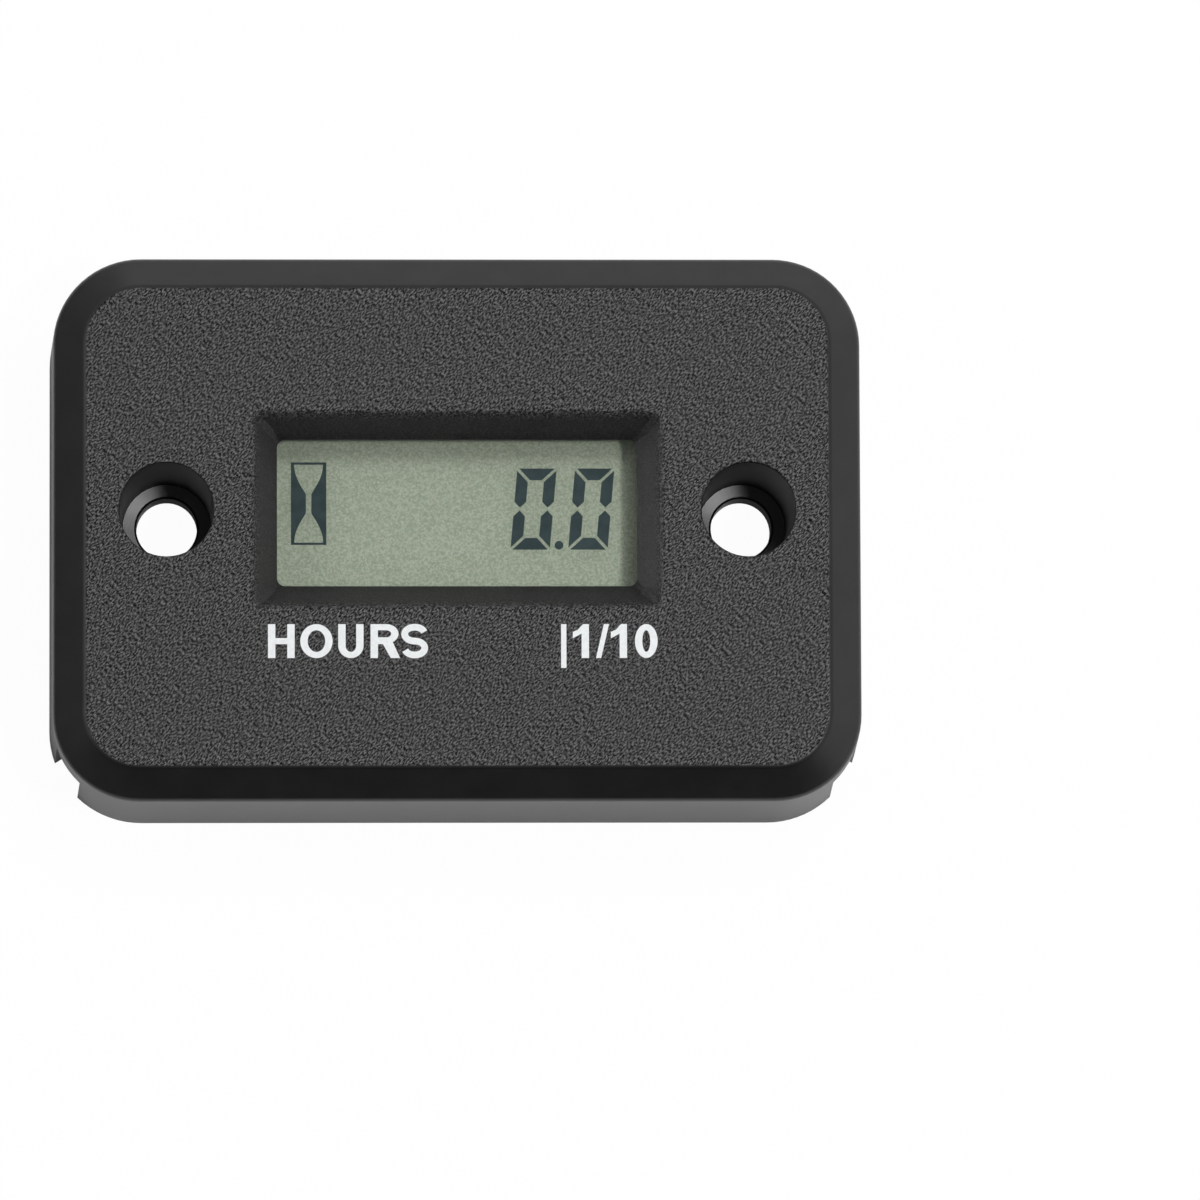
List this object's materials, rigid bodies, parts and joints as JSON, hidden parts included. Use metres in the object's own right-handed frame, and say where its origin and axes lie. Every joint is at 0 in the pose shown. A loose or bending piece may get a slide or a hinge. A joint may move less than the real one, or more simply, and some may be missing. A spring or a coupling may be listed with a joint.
{
  "type": "hour meter",
  "caption": "Surface-mounted engine hour meter: black bevelled case with a recessed LCD window, two deep screw wells and a slotted skirt for its lead.",
  "frame": {"origin": "middle of the rear rim, on the plane that lies on the panel", "axes": "+X to the reader's right, +Y to the top of the display, +Z out of the front face"},
  "size_m": [0.06, 0.0408, 0.0155],
  "materials": {
    "case_black": "spark-eroded grain on the face, satin bevels",
    "lens_clear": "clear polished acrylic",
    "seal_black": "closed-cell foam",
    "display_film": "neutral polarising film",
    "display_glass": "clear thin glass",
    "display_ink": "dark slate liquid-crystal segments",
    "edge_seal": "cured epoxy",
    "reflector": "fine sparkling sage reflector",
    "holder_white": "moulded satin",
    "strip_rubber": "striped conductive silicone",
    "board_green": "solder mask on glass epoxy",
    "chip_black": "moulded epoxy",
    "chip_tan": "fired ceramic",
    "steel": "plated steel",
    "screw_steel": "zinc-plated steel",
    "brass": "tinned turned brass",
    "rubber_black": "moulded matt rubber"
  },
  "bodies": {
    "root": {"front_case": "case_black", "window_lens": "lens_clear", "lens_seal": "seal_black", "display_polariser": "display_film", "display_front_glass": "display_glass", "display_segments": "display_ink", "display_edge_seal": "edge_seal", "display_rear_glass": "display_glass", "display_reflector": "reflector", "display_holder": "holder_white", "contact_strips": "strip_rubber", "circuit_board": "board_green", "controller_dome": "chip_black", "crystal": "steel", "resistors": "chip_black", "capacitors": "chip_tan", "input_transistor": "chip_black", "clamp_diode": "chip_black", "lead_terminal": "brass", "board_screws": "screw_steel", "coin_cell": "steel", "cell_tab_plus": "steel", "cell_tab_minus": "steel", "lead_grommet": "rubber_black", "cover_gasket": "rubber_black", "rear_cover": "case_black", "cover_screws": "screw_steel"}
  },
  "joints": []
}
